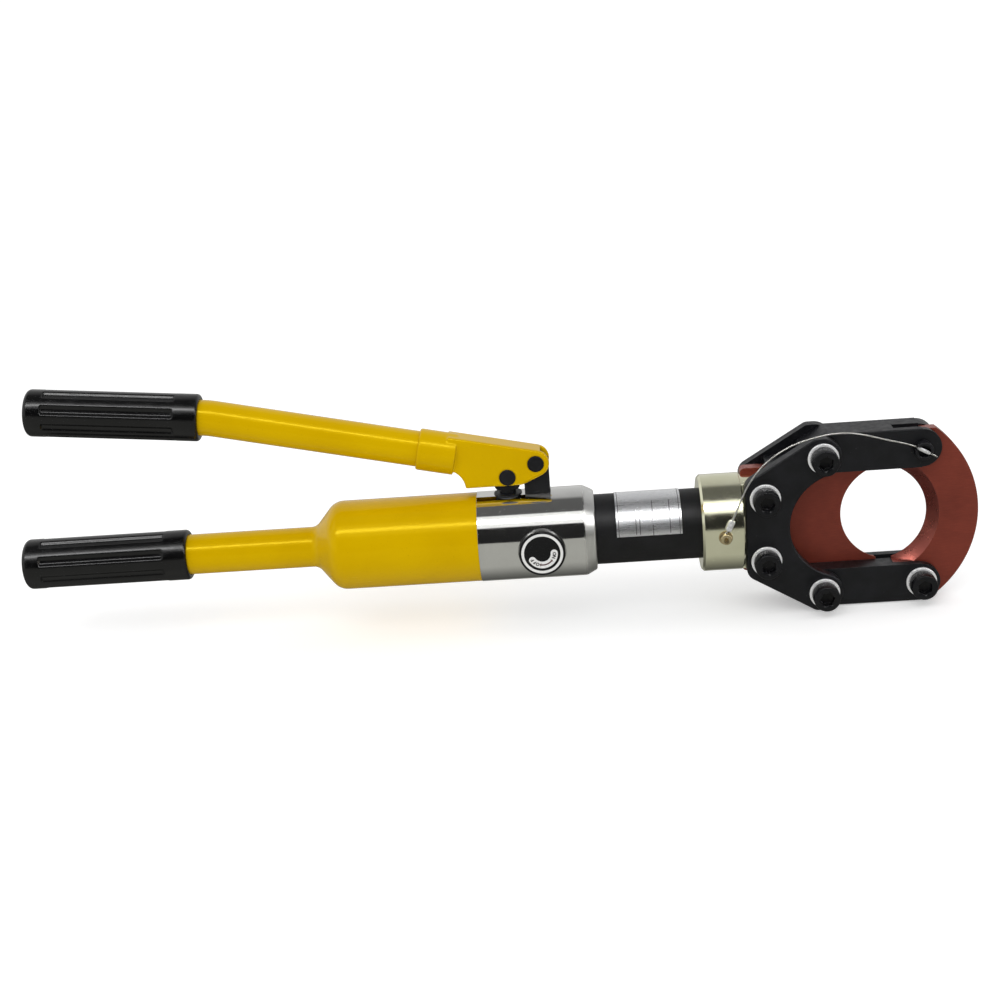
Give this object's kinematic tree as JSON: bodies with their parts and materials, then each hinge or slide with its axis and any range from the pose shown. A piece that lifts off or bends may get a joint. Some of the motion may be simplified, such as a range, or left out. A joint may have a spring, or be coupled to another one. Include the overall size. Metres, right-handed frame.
{
  "type": "hand hydraulic cable cutter",
  "caption": "Two-handed hydraulic cable cutter: pump lever over a tank handle, ram cylinder, and a round-eye shear head with a latch pin.",
  "frame": {"origin": "centre of the cutting eye, in the shear plane between the fixed and the moving blade", "axes": "+X along the ram axis, from the handles to the blades; +Z towards the pump lever; -Y towards the bolt heads and the release knob"},
  "size_m": [0.5869, 0.0639, 0.1663],
  "materials": {
    "black_oxide": "black oxide steel, satin",
    "blade_red": "hardened blade steel, red-brown satin lacquer, ground bevel",
    "bright_zinc": "bright zinc plated",
    "collar_nickel": "turned, warm nickel plate",
    "chrome_plate": "polished chrome plate",
    "tube_black": "satin black lacquer",
    "yellow_enamel": "gloss golden yellow enamel",
    "grip_black": "moulded, semi-gloss black",
    "label_aluminium": "blank brushed sheet",
    "ground_steel": "ground and hardened",
    "valve_steel": "turned steel",
    "ball_steel": "polished ball",
    "spring_steel": "drawn spring wire",
    "seal_rubber": "nitrile",
    "gland_brass": "turned brass",
    "knob_black": "moulded black",
    "dial_black": "printed face with plain ring and arc",
    "wire_steel": "stranded wire rope",
    "crimp_aluminium": "pressed sleeve",
    "screw_brass": "yellow passivated",
    "bladder_rubber": "moulded oil bag"
  },
  "bodies": {
    "tool": {"front_side_plate": "black_oxide", "rear_side_plate": "black_oxide", "upper_guide_bar": "black_oxide", "lower_guide_bar": "black_oxide", "fixed_blade": "blade_red", "plate_bolts": "black_oxide", "spring_washers": "bright_zinc", "blade_pivot_bolt": "black_oxide", "head_collar": "collar_nickel", "lanyard_screw": "screw_brass", "lanyard_wire": "wire_steel", "lanyard_crimp": "crimp_aluminium", "cylinder_tube": "tube_black", "nameplate": "label_aluminium", "ram_gland": "gland_brass", "rod_seal": "seal_rubber", "rod_wiper": "seal_rubber", "return_spring": "spring_steel", "pump_body": "chrome_plate", "suction_seat": "valve_steel", "suction_ball": "ball_steel", "suction_spring": "spring_steel", "intake_strainer": "gland_brass", "delivery_ball": "ball_steel", "delivery_spring": "spring_steel", "delivery_plug": "valve_steel", "relief_ball": "ball_steel", "relief_spring": "spring_steel", "relief_screw": "valve_steel", "release_ball": "ball_steel", "lever_bracket": "black_oxide", "plunger_gland": "black_oxide", "plunger_seal": "seal_rubber", "tank": "yellow_enamel", "tank_seal": "seal_rubber", "oil_bladder": "bladder_rubber", "bladder_clamp": "valve_steel", "lower_grip": "grip_black"},
    "ram": {"ram": "ground_steel", "ram_link_pin": "ground_steel", "piston_seal": "seal_rubber", "moving_blade": "blade_red"},
    "lever": {"lever_fork": "yellow_enamel", "hinge_pin": "black_oxide", "plunger_link_pin": "black_oxide", "lever_tube": "yellow_enamel", "upper_grip": "grip_black"},
    "plunger": {"plunger": "black_oxide"},
    "knob": {"release_knob": "knob_black", "knob_dial": "dial_black", "release_spindle": "valve_steel"},
    "latch": {"latch_pin": "black_oxide", "lanyard_ferrule": "crimp_aluminium"}
  },
  "joints": [
    {"name": "lever_swing", "type": "hinge", "parent": "tool", "child": "lever", "pos_m": [-0.2098, 0, 0.0468], "axis": [0, 1, 0], "range_deg": [0, 50]},
    {"name": "plunger_slide", "type": "slide", "parent": "tool", "child": "plunger", "axis": [0, 0, 1], "range_m": [0, 0.0165]},
    {"name": "ram_slide", "type": "slide", "parent": "tool", "child": "ram", "axis": [1, 0, 0], "range_m": [0, 0.054], "deforming": ["return_spring"]},
    {"name": "release_knob_turn", "type": "hinge", "parent": "tool", "child": "knob", "pos_m": [-0.209, -0.0285, -0.0024], "axis": [0, -1, 0], "range_deg": [0, 120]},
    {"name": "latch_pin_slide", "type": "slide", "parent": "tool", "child": "latch", "axis": [0, -1, 0], "range_m": [0, 0.03], "deforming": ["lanyard_wire"]}
  ],
  "couplings": [
    {"joint": "plunger_slide", "follows": "lever_swing", "m_per_rad": 0.01874}
  ]
}
